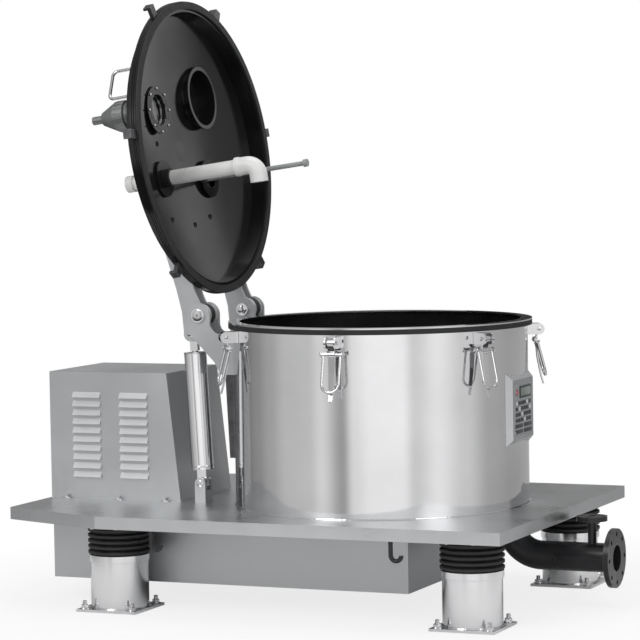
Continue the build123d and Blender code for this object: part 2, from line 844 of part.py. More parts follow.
# Feed pipe through the lid, its elbow turned towards the hinge
elbow_top = feed_elbow_depth - feed_elbow_socket
with BuildPart() as feed_pipe:
    with BuildLine(lid_section(feed_port_x, feed_port_y)):
        Line((0, feed_pipe_outside), (0, -feed_elbow_depth + feed_elbow_bend))
        RadiusArc((0, -feed_elbow_depth + feed_elbow_bend), (-feed_elbow_bend, -feed_elbow_depth), feed_elbow_bend)
        Line((-feed_elbow_bend, -feed_elbow_depth), (-feed_elbow_reach, -feed_elbow_depth))
    with BuildSketch(lid_plane(feed_port_x, feed_port_y, feed_pipe_outside)):
        Circle(feed_pipe_radius)
    sweep()
    with BuildLine(lid_section(feed_port_x, feed_port_y)):
        Line((0, -elbow_top), (0, -feed_elbow_depth + feed_elbow_bend))
        RadiusArc((0, -feed_elbow_depth + feed_elbow_bend), (-feed_elbow_bend, -feed_elbow_depth), feed_elbow_bend)
        Line((-feed_elbow_bend, -feed_elbow_depth), (-feed_elbow_reach, -feed_elbow_depth))
    with BuildSketch(lid_plane(feed_port_x, feed_port_y, -elbow_top)):
        Circle(feed_elbow_radius)
    sweep()
    with BuildLine(lid_section(feed_port_x, feed_port_y)):
        Line((0, feed_pipe_outside - feed_cap_height), (0, -feed_elbow_depth + feed_elbow_bend))
        RadiusArc((0, -feed_elbow_depth + feed_elbow_bend), (-feed_elbow_bend, -feed_elbow_depth), feed_elbow_bend)
        Line((-feed_elbow_bend, -feed_elbow_depth), (-feed_elbow_reach, -feed_elbow_depth))
    with BuildSketch(lid_plane(feed_port_x, feed_port_y, feed_pipe_outside - feed_cap_height)):
        Circle(feed_pipe_radius - feed_pipe_wall)
    sweep(mode=Mode.SUBTRACT)
    with BuildSketch(lid_plane(feed_port_x, feed_port_y, feed_pipe_outside - feed_cap_height)):
        Circle(feed_pipe_radius + feed_pipe_wall)
    extrude(amount=feed_cap_height)
feed_pipe.part.label = "feed_pipe"
export_step(feed_pipe.part, "parts/feed_pipe.step")

# Wash tube, closed by a collar at its lower end
with BuildPart() as wash_tube:
    with BuildSketch(lid_plane(wash_port_x, port_row_offset, -wash_tube_depth)):
        Circle(wash_tube_radius)
    extrude(amount=wash_tube_depth + neck_top + wash_tube_outside)
    with BuildSketch(lid_plane(wash_port_x, port_row_offset, -wash_tube_depth)):
        Circle(wash_collar_radius)
    extrude(amount=wash_collar_length)
    with BuildSketch(lid_plane(wash_port_x, port_row_offset, neck_top + seat_gap)):
        Circle(wash_collar_radius)
    extrude(amount=wash_collar_length)
wash_tube.part.label = "wash_tube"
export_step(wash_tube.part, "parts/wash_tube.step")

# Bent rod handle on the lid's outer side
handle_turn = math.radians(lid_handle_angle)
handle_base = dome_height(lid_floor_radius)
handle_plane = Plane(
    lid_plane(lid_handle_radius * math.cos(handle_turn), lid_handle_radius * math.sin(handle_turn)).origin,
    x_dir=Vector(0, math.cos(handle_turn), 0) - lid_along * math.sin(handle_turn),
    z_dir=lid_along * math.cos(handle_turn) + Vector(0, math.sin(handle_turn), 0),
)
half = lid_handle_span / 2
crown = dome_height(lid_handle_radius) + lid_sheet + lid_handle_height
with BuildPart() as lid_handle:
    with BuildLine(handle_plane):
        FilletPolyline((-half, handle_base), (-half, crown), (half, crown), (half, handle_base),
                       radius=lid_handle_corner)
    with BuildSketch(Plane(handle_plane.from_local_coords((-half, handle_base)),
                           x_dir=handle_plane.x_dir, z_dir=lid_out)):
        Circle(lid_handle_rod / 2)
    sweep()
    add(lid_room.part, mode=Mode.SUBTRACT)
lid_handle.part.label = "lid_handle"
export_step(lid_handle.part, "parts/lid_handle.step")

# Lugs on the lid's rim that the latch bails hook over
with BuildPart() as lid_lugs:
    for angle in latch_angles:
        c, s = math.cos(math.radians(angle)), math.sin(math.radians(angle))
        out = lid_along * c + Vector(0, s, 0)
        with BuildSketch(Plane(lid_centre, x_dir=out, z_dir=out.cross(lid_out))):
            with BuildLine():
                Polyline(
                    (lid_radius + seat_gap, 0),
                    (lid_radius + lug_reach, 0),
                    (lid_radius + lug_reach, lug_lip_height),
                    (lid_radius + lug_reach - lug_lip_thickness, lug_lip_height),
                    (lid_radius + lug_reach - lug_lip_thickness, lug_height),
                    (lid_radius + seat_gap, lug_height),
                    close=True,
                )
            make_face()
        extrude(amount=lug_width / 2, both=True)
lid_lugs.part.label = "lid_lugs"
export_step(lid_lugs.part, "parts/lid_lugs.step")

# Lid arms: pairs of plates from behind the hinge pin onto the lid, tied by round spacers
hub_x, hub_h = -hinge_reach, -lid_face_rise
tail_x, tail_h = hub_x + arm_tail_x, hub_h + arm_tail_rise
with BuildPart() as lid_arms:
    for sign in sides:
        middle = sign * hinge_offset
        for low in (-arm_outer, arm_inner):
            with BuildSketch(lid_section(0, middle + low + arm_plate_thickness)):
                Polygon(
                    (tail_x - arm_tail_radius * 0.6, tail_h - arm_tail_radius * 0.7),
                    (tail_x - arm_tail_radius * 0.3, tail_h + arm_tail_radius * 0.95),
                    (hub_x + arm_hub_radius * 0.5, hub_h + arm_back_rise * 0.88),
                    (hub_x + arm_length / 3, hub_h + arm_back_rise),
                    (hub_x + arm_length * 0.94, hub_h + arm_end_rise),
                    (hub_x + arm_length, hub_h + arm_end_rise * 0.9),
                    (hub_x + arm_length, hub_h + arm_end_rise / 2),
                    (hub_x + arm_length / 4, hub_h + arm_hub_radius * 0.14),
                    (hub_x + arm_hub_radius * 1.1, hub_h - arm_hub_radius * 0.1),
                    (hub_x + arm_hub_radius * 0.45, hub_h - arm_hub_radius * 0.9),
                    (hub_x - arm_hub_radius * 0.6, hub_h - arm_hub_radius * 0.8), align=None,
                )
                with Locations((hub_x, hub_h)):
                    Circle(arm_hub_radius)
                with Locations((tail_x, tail_h)):
                    Circle(arm_tail_radius)
            extrude(amount=arm_plate_thickness)
        with BuildSketch(lid_section(0, middle)):
            with Locations((hub_x + arm_hub_radius * 0.9, hub_h + arm_back_rise * 0.6),
                           (hub_x + arm_length * 0.9, hub_h + arm_end_rise * 0.82)):
                Circle(arm_spacer_diameter / 2)
            with Locations((tail_x, tail_h)):
                Circle(strut_eye_pin_diameter / 2)
        extrude(amount=arm_outer, both=True)
        with BuildSketch(lid_section(0, middle)):
            with Locations((hub_x, hub_h)):
                Circle(hinge_pin_diameter / 2 + running_clearance)
        extrude(amount=arm_outer, both=True, mode=Mode.SUBTRACT)
    add(lid_room.part, mode=Mode.SUBTRACT)
lid_arms.part.label = "lid_arms"
export_step(lid_arms.part, "parts/lid_arms.step")

# Balance struts: a foot with a pin, a tube on the pin, and a rod with a flat fork bar
foot_pin = Vector(strut_foot_x, 0, deck_top + strut_foot_rise)
tail_point = lid_plane(tail_x, 0, tail_h).origin
strut_up = (tail_point - foot_pin).normalized()
strut_length = (tail_point - foot_pin).length
strut_tube_end = strut_length - strut_tube_gap
strut_rod_start = strut_tube_end - strut_rod_overlap
strut_fork_start = strut_length - strut_fork_length
strut_cross = Vector(strut_up.Z, 0, -strut_up.X)
with BuildPart() as strut_feet:
    for sign in sides:
        middle = sign * hinge_offset
        with BuildSketch(Plane.XY.offset(deck_top)):
            with Locations((strut_foot_x, middle)):
                Rectangle(strut_foot_width, strut_foot_depth)
        extrude(amount=strut_foot_rise)
        with BuildSketch(upright(strut_foot_x, middle)):
            with Locations((0, deck_top + strut_foot_rise)):
                Circle(strut_foot_width / 2)
        extrude(amount=strut_foot_depth / 2, both=True)
        with BuildSketch(Plane.XY.offset(deck_top + strut_foot_rise - strut_eye_radius - swing_clearance)):
            with Locations((strut_foot_x, middle)):
                Rectangle(strut_foot_width * 2, strut_slot)
        extrude(amount=strut_foot_rise, mode=Mode.SUBTRACT)
        with BuildSketch(upright(strut_foot_x, middle)):
            with Locations((0, deck_top + strut_foot_rise)):
                Circle(strut_pin_diameter / 2)
        extrude(amount=strut_foot_depth / 2, both=True)
strut_feet.part.label = "strut_feet"
export_step(strut_feet.part, "parts/strut_feet.step")

for side, sign in (("front", -1), ("back", 1)):
    middle = sign * hinge_offset
    start = Vector(0, middle, 0) + foot_pin
    along = Plane(start, x_dir=strut_cross, z_dir=strut_up)
    across = Plane(start, x_dir=strut_cross, z_dir=(0, -1, 0))
    with BuildPart() as strut_tube:
        with BuildSketch(along.offset(strut_tube_start)):
            Circle(strut_tube_diameter / 2)
        extrude(amount=strut_tube_end - strut_tube_start)
        with BuildSketch(along.offset(strut_tube_start + strut_cap_thickness)):
            Circle(strut_tube_diameter / 2 - strut_tube_wall)
        extrude(amount=strut_tube_end - strut_tube_start, mode=Mode.SUBTRACT)
        with BuildSketch(across):
            Circle(strut_eye_radius)
            with Locations((0, strut_tube_start / 2)):
                Rectangle(2 * strut_eye_radius, strut_tube_start)
            Circle(strut_pin_diameter / 2 + running_clearance, mode=Mode.SUBTRACT)
        extrude(amount=strut_eye_thickness / 2, both=True)
    strut_tube.part.label = f"strut_tube_{side}"
    export_step(strut_tube.part, f"parts/strut_tube_{side}.step")

    with BuildPart() as strut_rod:
        with BuildSketch(along.offset(strut_rod_start)):
            Circle(strut_rod_diameter / 2)
        extrude(amount=strut_fork_start - strut_rod_start)
        with BuildSketch(across):
            with Locations((0, (strut_fork_start + strut_length) / 2)):
                Rectangle(strut_fork_width, strut_length - strut_fork_start)
            with Locations((0, strut_length)):
                Circle(strut_fork_width / 2)
                Circle(strut_eye_pin_diameter / 2 + running_clearance, mode=Mode.SUBTRACT)
        extrude(amount=strut_fork_thickness / 2, both=True)
    strut_rod.part.label = f"strut_rod_{side}"
    export_step(strut_rod.part, f"parts/strut_rod_{side}.step")

# Toggle latches round the drum: ears with a pin, a lever on the pin, a bail on the lever
pin_r = drum_radius + latch_pin_out
pin_z = drum_top - latch_drop
cross_r = pin_r - lever_cross_in
cross_z = pin_z - lever_cross_down
lean = math.radians(bail_lean)
with BuildPart() as latch_ears:
    for angle in latch_angles:
        with BuildSketch(radial(angle)):
            with BuildLine():
                Line((drum_radius + seat_gap, pin_z - ear_height / 2),
                     (drum_radius + ear_length - ear_height / 2, pin_z - ear_height / 2))
                ThreePointArc((drum_radius + ear_length - ear_height / 2, pin_z - ear_height / 2),
                              (drum_radius + ear_length, pin_z),
                              (drum_radius + ear_length - ear_height / 2, pin_z + ear_height / 2))
                Line((drum_radius + ear_length - ear_height / 2, pin_z + ear_height / 2),
                     (drum_radius + seat_gap, pin_z + ear_height / 2))
                Line((drum_radius + seat_gap, pin_z + ear_height / 2),
                     (drum_radius + seat_gap, pin_z - ear_height / 2))
            make_face()
        extrude(amount=ear_outer_width / 2, both=True)
        with BuildSketch(radial(angle)):
            with Locations((drum_radius + ear_back_thickness + ear_length, pin_z)):
                Rectangle(2 * ear_length, 2 * ear_height)
        extrude(amount=ear_outer_width / 2 - ear_thickness, both=True, mode=Mode.SUBTRACT)
        with BuildSketch(radial(angle)):
            with Locations((pin_r, pin_z)):
                Circle(latch_pin_diameter / 2)
        extrude(amount=ear_outer_width / 2, both=True)
latch_ears.part.label = "latch_ears"
export_step(latch_ears.part, "parts/latch_ears.step")

# The lever's strip runs from the pin past the crossbar, then leans out to its tip.
bow = bail_length * math.cos(lean)
strip_path = [
    (pin_r, pin_z),
    (cross_r, cross_z),
    (cross_r + lever_bow_out * 0.3, cross_z - bow / 2),
    (cross_r + lever_bow_out, cross_z - bow),
    (cross_r + lever_bow_out * 1.5, pin_z - lever_length),
]
for number, angle in enumerate(latch_angles, 1):
    section = radial(angle)
    with BuildPart() as latch_lever:
        with BuildSketch(section):
            for (r1, z1), (r2, z2) in zip(strip_path, strip_path[1:]):
                with Locations(((r1 + r2) / 2, (z1 + z2) / 2)):
                    SlotCenterToCenter(math.hypot(r2 - r1, z2 - z1), lever_strip,
                                       rotation=math.degrees(math.atan2(z2 - z1, r2 - r1)))
        extrude(amount=lever_width / 2, both=True)
        with BuildSketch(Plane(section.from_local_coords((cross_r, pin_z)),
                               x_dir=-section.z_dir, z_dir=section.x_dir)):
            Polygon((-lever_width, 2 * lever_hub_radius), (lever_width, 2 * lever_hub_radius),
                    (lever_width / 2, -bow / 2), (lever_tip_width / 2, -lever_length),
                    (lever_tip_width / 2, -2 * lever_length), (-lever_tip_width / 2, -2 * lever_length),
                    (-lever_tip_width / 2, -lever_length), (-lever_width / 2, -bow / 2), align=None)
        extrude(amount=lever_length, both=True, mode=Mode.INTERSECT)
        with BuildSketch(section):
            with Locations((pin_r, pin_z)):
                Circle(lever_hub_radius)
            with Locations((cross_r, cross_z)):
                Circle(lever_cross_hub)
        extrude(amount=lever_width / 2, both=True)
        with BuildSketch(section):
            with Locations((pin_r, pin_z)):
                Circle(latch_pin_diameter / 2 + running_clearance)
            with Locations((cross_r, cross_z)):
                Circle(bail_cross_diameter / 2 + running_clearance)
        extrude(amount=lever_width / 2, both=True, mode=Mode.SUBTRACT)
    latch_lever.part.label = f"latch_lever_{number}"
    export_step(latch_lever.part, f"parts/latch_lever_{number}.step")

    # The bail: a crossbar through the lever and a round bow hanging from its ends
    cross_point = section.from_local_coords((cross_r, cross_z))
    hang = section.x_dir * math.sin(lean) - Vector(0, 0, 1) * math.cos(lean)
    bow_plane = Plane(cross_point, x_dir=section.z_dir, z_dir=section.z_dir.cross(hang))
    half = bail_width / 2
    with BuildPart() as latch_bail:
        with BuildSketch(section):
            with Locations((cross_r, cross_z)):
                Circle(bail_cross_diameter / 2)
        extrude(amount=bail_cross_length / 2, both=True)
        with BuildLine(bow_plane):
            FilletPolyline((-half, 0), (-half, bail_length), (half, bail_length), (half, 0),
                           radius=half - 1)
        with BuildSketch(Plane(bow_plane.from_local_coords((-half, 0)), x_dir=section.z_dir, z_dir=hang)):
            Circle(bail_rod / 2)
        sweep()
    latch_bail.part.label = f"latch_bail_{number}"
    export_step(latch_bail.part, f"parts/latch_bail_{number}.step")

# Discharge pipe: a root flange under the base plate and a bend
pipe_section = upright(pipe_root_x, pipe_y)
with BuildPart() as discharge_pipe:
    for radius, mode in ((pipe_radius, Mode.ADD), (pipe_radius - pipe_wall, Mode.SUBTRACT)):
        if mode == Mode.SUBTRACT:
            with BuildSketch(Plane.XY.offset(deck_bottom)):
                with Locations((pipe_root_x, pipe_y)):
                    Circle(root_flange_radius)
            extrude(amount=-root_flange_thickness)
        with BuildLine(pipe_section):
            Line((0, deck_bottom), (0, pipe_axis_height + pipe_bend))
            RadiusArc((0, pipe_axis_height + pipe_bend), (pipe_bend, pipe_axis_height), -pipe_bend)
            Line((pipe_bend, pipe_axis_height), (pipe_end_x - pipe_root_x, pipe_axis_height))
        with BuildSketch(Plane.XY.offset(deck_bottom)):
            with Locations((pipe_root_x, pipe_y)):
                Circle(radius)
        sweep(mode=mode)
    with BuildSketch(Plane((riser_x, pipe_y, pipe_axis_height))):
        Circle(riser_radius - riser_wall)
    extrude(amount=pipe_radius, mode=Mode.SUBTRACT)
discharge_pipe.part.label = "discharge_pipe"
export_step(discharge_pipe.part, "parts/discharge_pipe.step")

# Discharge flange, slipped over the end of the pipe, with its bolt holes
with BuildPart() as discharge_flange:
    with BuildSketch(Plane((pipe_end_x, pipe_y, pipe_axis_height), x_dir=(0, 1, 0), z_dir=(1, 0, 0))):
        Circle(flange_radius)
        Circle(pipe_radius + seat_gap, mode=Mode.SUBTRACT)
        with PolarLocations(flange_bolt_circle / 2, flange_bolts):
            Circle(flange_bolt_hole / 2, mode=Mode.SUBTRACT)
    extrude(amount=-flange_thickness)
discharge_flange.part.label = "discharge_flange"
export_step(discharge_flange.part, "parts/discharge_flange.step")

# Riser: a small flanged tube standing on the discharge pipe
with BuildPart() as riser:
    with BuildSketch(Plane((riser_x, pipe_y, pipe_axis_height))):
        Circle(riser_radius)
    extrude(amount=riser_top - pipe_axis_height)
    with BuildSketch(Plane((riser_x, pipe_y, riser_top - riser_flange_thickness))):
        Circle(riser_flange_radius)
        with PolarLocations(riser_bolt_circle / 2, riser_bolts):
            Circle(riser_bolt_hole / 2, mode=Mode.SUBTRACT)
    extrude(amount=riser_flange_thickness)
    with BuildSketch(Plane((riser_x, pipe_y, pipe_axis_height))):
        Circle(riser_radius - riser_wall)
    extrude(amount=riser_top - pipe_axis_height, mode=Mode.SUBTRACT)
    with BuildSketch(Plane((riser_x, pipe_y, pipe_axis_height), x_dir=(0, 1, 0), z_dir=(1, 0, 0))):
        Circle(pipe_radius + seat_gap)
    extrude(amount=riser_flange_radius, both=True, mode=Mode.SUBTRACT)
riser.part.label = "riser"
export_step(riser.part, "parts/riser.step")

# Tie-down hooks under the front and back edges
with BuildPart() as hooks:
    for x in hook_places:
        for sign in sides:
            y = sign * (deck_depth / 2 - hook_inset)
            bend = deck_bottom - hook_drop + hook_radius + hook_rod / 2
            with BuildLine(upright(x, y)):
                Line((0, deck_bottom), (0, bend))
                RadiusArc((0, bend), (2 * hook_radius, bend), -hook_radius)
            with BuildSketch(Plane((x, y, deck_bottom))):
                Circle(hook_rod / 2)
            sweep()
hooks.part.label = "hooks"
export_step(hooks.part, "parts/hooks.step")
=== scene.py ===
import bpy, bmesh, json, math
from mathutils import Matrix, Vector


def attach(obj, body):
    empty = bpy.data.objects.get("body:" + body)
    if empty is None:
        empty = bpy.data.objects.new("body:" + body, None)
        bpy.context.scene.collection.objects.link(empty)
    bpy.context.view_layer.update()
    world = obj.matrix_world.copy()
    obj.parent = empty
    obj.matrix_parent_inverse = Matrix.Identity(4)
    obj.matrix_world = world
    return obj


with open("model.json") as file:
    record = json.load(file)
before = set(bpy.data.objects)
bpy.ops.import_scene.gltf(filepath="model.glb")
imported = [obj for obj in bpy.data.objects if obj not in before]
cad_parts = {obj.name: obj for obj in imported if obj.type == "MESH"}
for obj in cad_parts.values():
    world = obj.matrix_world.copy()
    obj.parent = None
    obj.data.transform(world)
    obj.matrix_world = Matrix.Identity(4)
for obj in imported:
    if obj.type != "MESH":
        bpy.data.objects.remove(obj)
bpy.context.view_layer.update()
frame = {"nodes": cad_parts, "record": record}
nodes = frame["nodes"]
scene = bpy.context.scene

# ---------- camera: a long lens from the front right ----------
cam_data = bpy.data.cameras.new("camera")
cam_data.lens = 161.4
cam_data.sensor_width = 36.0
cam_data.clip_end = 200
cam = bpy.data.objects.new("camera", cam_data)
scene.collection.objects.link(cam)
right = Vector((0.91687542, 0.39882477, -0.01668115))
up = Vector((-0.00900609, 0.06244693, 0.99800765))
ahead = Vector((-0.39907186, 0.91489846, -0.06084791))
eye = (4.2508, -9.9876, 1.7151)
turn = Matrix((right, up, -ahead)).transposed().to_4x4()
cam.matrix_world = Matrix.Translation(eye) @ turn
scene.camera = cam
scene.view_settings.view_transform = "Standard"


# ---------- node helpers ----------
class Tree:
    """A node tree with a few short ways to add and link nodes."""

    def __init__(self, tree):
        self.t = tree

    def node(self, kind, **values):
        """A node with settings and inputs by name; an input's blanks are written as underscores."""
        n = self.t.nodes.new(kind)
        for key, v in values.items():
            if hasattr(n, key):
                setattr(n, key, v)
            else:
                n.inputs[key.replace("_", " ")].default_value = v
        return n

    def link(self, a, b):
        self.t.links.new(a, b)

    def calc(self, op, *terms):
        n = self.node("ShaderNodeMath", operation=op)
        for socket, v in zip(n.inputs, terms):
            if isinstance(v, (int, float)):
                socket.default_value = v
            else:
                self.link(v, socket)
        return n.outputs[0]

    def span(self, fac, low, high, a=0.3, b=0.7, kind="LINEAR"):
        """Maps a to b onto low to high."""
        n = self.node("ShaderNodeMapRange", interpolation_type=kind, From_Min=a, From_Max=b, To_Min=low, To_Max=high)
        self.link(fac, n.inputs["Value"])
        return n.outputs["Result"]

    def either(self, fac, first, second):
        """The first shader where fac is 0, the second where it is 1."""
        n = self.node("ShaderNodeMixShader")
        for v, socket in zip((fac, first, second), n.inputs):
            self.link(v, socket)
        return n.outputs[0]


class Mat(Tree):
    """A material with its Principled shader."""

    def __init__(self, name, color, metallic=0.0, rough=0.5, coat=0.0):
        self.m = bpy.data.materials.new(name)
        self.m.use_nodes = True
        super().__init__(self.m.node_tree)
        self.p = self.t.nodes["Principled BSDF"]
        self.p.inputs["Base Color"].default_value = (*color, 1)
        self.p.inputs["Metallic"].default_value = metallic
        self.p.inputs["Roughness"].default_value = rough
        self.p.inputs["Coat Weight"].default_value = coat
        self.color = color
        self.height = None
        self.coord = self.node("ShaderNodeTexCoord").outputs["Object"]

    def noise(self, scale, stretch=(1, 1, 1), detail=4.0, rough=0.55):
        place = self.node("ShaderNodeMapping", Scale=stretch)
        self.link(self.coord, place.inputs["Vector"])
        n = self.node("ShaderNodeTexNoise", Scale=scale, Detail=detail, Roughness=rough)
        self.link(place.outputs["Vector"], n.inputs["Vector"])
        return n.outputs["Fac"]

    def ramp(self, fac, low, high, a=0.3, b=0.7):
        n = self.node("ShaderNodeValToRGB")
        e = n.color_ramp.elements
        e[0].position, e[1].position = a, b
        e[0].color, e[1].color = (*low, 1), (*high, 1)
        self.link(fac, n.inputs["Fac"])
        return n.outputs["Color"]

    def tint(self, fac, low, high):
        c = self.color
        shade = self.ramp(fac, [v * low for v in c], [min(v * high, 1) for v in c])
        self.link(shade, self.p.inputs["Base Color"])

    def roughness(self, fac, low, high, a=0.3, b=0.7):
        self.link(self.span(fac, low, high, a, b), self.p.inputs["Roughness"])

    def bump(self, fac, strength, distance):
        n = self.node("ShaderNodeBump", Strength=strength, Distance=distance)
        self.link(fac, n.inputs["Height"])
        if self.height:
            self.link(self.height, n.inputs["Normal"])
        self.height = n.outputs["Normal"]
        self.link(self.height, self.p.inputs["Normal"])

    def clouded(self, scale, tint, rough=None):
        """Soft clouds of colour and, with a span for it, of roughness."""
        n = self.noise(scale)
        self.tint(n, *tint)
        if rough:
            self.roughness(n, *rough)
        return n

    def grained(self, scale, strength, distance=0.0004, detail=4.0):
        self.bump(self.noise(scale, detail=detail), strength, distance)

    def worn(self, color, amount):
        """Edges lightened, from a bevelled normal against the flat one."""
        b = self.node("ShaderNodeBevel", samples=4, Radius=0.004)
        g = self.node("ShaderNodeNewGeometry")
        d = self.node("ShaderNodeVectorMath", operation="DOT_PRODUCT")
        self.link(b.outputs["Normal"], d.inputs[0])
        self.link(g.outputs["Normal"], d.inputs[1])
        mix = self.node("ShaderNodeMix", data_type="RGBA")
        self.link(self.span(d.outputs["Value"], amount, 0.0, 0.8, 0.98), mix.inputs["Factor"])
        base = self.p.inputs["Base Color"]
        self.link(base.links[0].from_socket, mix.inputs["A"])
        mix.inputs["B"].default_value = (*color, 1)
        self.link(mix.outputs["Result"], base)


def steel(name, color, rough, grain, along="", bump=0.04):
    """Stainless steel: fine grain, drawn out along one direction if named, and cloudy roughness."""
    m = Mat(name, color, 1.0, rough)
    stretch = {"x": (0.03, 1, 1), "z": (1, 1, 0.03), "": (1, 1, 1)}[along]
    g = m.noise(grain, stretch, 6.0, 0.7)
    cloud = m.noise(3.1, detail=5.0)
    m.tint(cloud, 0.93, 1.05)
    m.roughness(m.calc("MULTIPLY_ADD", g, 0.5, cloud), rough * 0.8, rough * 1.25, 0.5, 1.0)
    m.bump(g, bump, 0.0004)
    return m


# ---------- materials ----------
deck_steel = steel("deck_steel", (0.64, 0.65, 0.66), 0.30, 260, "x")
skirt_steel = steel("guard_steel", (0.50, 0.51, 0.52), 0.42, 240, "x")
leg_steel = steel("leg_steel", (0.78, 0.78, 0.79), 0.17, 200, "z", 0.02)
drum_steel = steel("drum_steel", (0.80, 0.80, 0.81), 0.085, 320, "z", 0.008)
bright_steel = steel("bright_steel", (0.70, 0.70, 0.71), 0.13, 180, bump=0.01)
inner_steel = steel("lining_steel", (0.45, 0.46, 0.47), 0.4, 200, "z")
cover_steel = steel("cover_steel", (0.60, 0.61, 0.62), 0.42, 300, "x")
strut_steel = steel("strut_steel", (0.80, 0.80, 0.81), 0.09, 260, "z", 0.008)

grey = Mat("bracket_paint", (0.52, 0.53, 0.54), 0.35, 0.42)
grey.clouded(5.0, (0.9, 1.06), (0.36, 0.5))
grey.grained(320, 0.06, detail=3)
grey.worn((0.75, 0.75, 0.76), 0.4)
black = Mat("lid_black", (0.008, 0.008, 0.009), 0.0, 0.16)
black.p.inputs["Specular IOR Level"].default_value = 0.4
black.clouded(4.0, (0.8, 1.4), (0.10, 0.2))
black.grained(26, 0.03, 0.0006, detail=2)
pipe_black = Mat("pipe_black", (0.016, 0.016, 0.018), 0.2, 0.3)
pipe_black.clouded(7.0, (0.8, 1.5), (0.24, 0.42))
pipe_black.grained(90, 0.12, 0.0006, detail=3)
pipe_black.worn((0.16, 0.16, 0.17), 0.5)
rubber = Mat("rubber", (0.014, 0.014, 0.014), 0.0, 0.62)
rubber.clouded(30.0, (0.7, 1.6), (0.5, 0.75))
rubber.grained(420, 0.2, detail=3)
pvc = Mat("white_plastic", (0.83, 0.83, 0.82), 0.0, 0.3)
pvc.p.inputs["Subsurface Weight"].default_value = 0.08
pvc.p.inputs["Subsurface Radius"].default_value = (0.01, 0.01, 0.01)
pvc.clouded(9.0, (0.93, 1.04), (0.24, 0.4))
pvc.grained(140, 0.05, detail=2)
cast = Mat("lamp_grey", (0.26, 0.27, 0.27), 0.6, 0.48)
cast.clouded(12.0, (0.85, 1.15), (0.4, 0.6))
cast.grained(500, 0.22, 0.0005)
cast.worn((0.5, 0.5, 0.5), 0.5)
dark_steel = Mat("dark_steel", (0.10, 0.10, 0.105), 0.85, 0.32)
dark_steel.clouded(30.0, (0.75, 1.35), (0.26, 0.42))
dark_steel.grained(300, 0.1, detail=3)
dark_steel.worn((0.45, 0.45, 0.46), 0.6)
wash = Mat("wash_plastic", (0.50, 0.52, 0.52), 0.0, 0.22)
wash.p.inputs["Transmission Weight"].default_value = 0.25
wash.clouded(14.0, (0.93, 1.05), (0.18, 0.3))
wash.grained(160, 0.05)
glass = Mat("sight_glass", (0.95, 0.97, 0.96), 0.0, 0.03)
glass.p.inputs["Transmission Weight"].default_value = 1.0
glass.grained(20, 0.02, 0.0005, detail=1)
key_grey = Mat("keypad_grey", (0.30, 0.31, 0.32), 0.0, 0.45)
key_grey.clouded(20, (0.94, 1.06))
key_grey.grained(900, 0.12, 0.0003, detail=2)
key_dark = Mat("key_dark", (0.045, 0.047, 0.05), 0.0, 0.4)
key_dark.clouded(40, (0.8, 1.3))
key_dark.grained(800, 0.1, 0.0003)
key_pale = Mat("key_pale", (0.62, 0.63, 0.64), 0.0, 0.42)
key_pale.clouded(40, (0.93, 1.05))
key_pale.grained(800, 0.1, 0.0003)
red = Mat("lamp_red", (0.55, 0.02, 0.015), 0.0, 0.2, 0.5)
red.bump(red.clouded(60, (0.8, 1.2)), 0.1, 0.0004)
screen = Mat("display_glass", (0.16, 0.19, 0.17), 0.0, 0.15, 0.6)
screen.clouded(60, (0.85, 1.15))
hole_dark = Mat("hole_dark", (0.006, 0.006, 0.006), 0.0, 0.7)
hole_dark.bump(hole_dark.clouded(60, (0.7, 1.4)), 0.2, 0.0005)

# Basket: rows of small round holes round its wall, sunk by a bump and painted near black, the black being painted
# shade inside the holes
DRUM_X = 0.141                                    # axis of drum and basket
WALL_IN, WALL_LOW, WALL_HIGH = 0.39, 0.52, 0.925  # just inside the basket's wall; where its rows begin and end
WALL_RADIUS = 0.4
HOLES_PER_METRE, HOLE_RADIUS = 50.0, 0.19         # the radius as a share of the pitch
holed = Mat("basket_steel", (0.5, 0.51, 0.52), 1.0, 0.34)
sep = holed.node("ShaderNodeSeparateXYZ")
holed.link(holed.coord, sep.inputs[0])
off_y, off_z = sep.outputs["Y"], sep.outputs["Z"]
off_x = holed.calc("SUBTRACT", sep.outputs["X"], DRUM_X)
arc = holed.calc("MULTIPLY", holed.calc("ARCTAN2", off_y, off_x), WALL_RADIUS)
out_r = holed.calc("SQRT", holed.calc("ADD", holed.calc("MULTIPLY", off_x, off_x),
                                      holed.calc("MULTIPLY", off_y, off_y)))
grid = holed.node("ShaderNodeCombineXYZ")
holed.link(arc, grid.inputs[0])
holed.link(off_z, grid.inputs[1])
cells = holed.node("ShaderNodeTexVoronoi", voronoi_dimensions="2D", Scale=HOLES_PER_METRE, Randomness=0.0)
holed.link(grid.outputs[0], cells.inputs["Vector"])
in_rows = holed.calc("MULTIPLY", holed.calc("GREATER_THAN", off_z, WALL_LOW),
                     holed.calc("LESS_THAN", off_z, WALL_HIGH))
on_wall = holed.calc("MULTIPLY", holed.calc("GREATER_THAN", out_r, WALL_IN), in_rows)
pit = holed.calc("MULTIPLY", holed.calc("LESS_THAN", cells.outputs["Distance"], HOLE_RADIUS), on_wall)
# the holes' near-black colour is painted shade
holed.link(holed.ramp(pit, holed.color, (0.01, 0.01, 0.01), 0.45, 0.55), holed.p.inputs["Base Color"])
holed.roughness(holed.noise(60), 0.28, 0.42)
holed.bump(holed.calc("SUBTRACT", 1.0, pit), 0.6, 0.002)

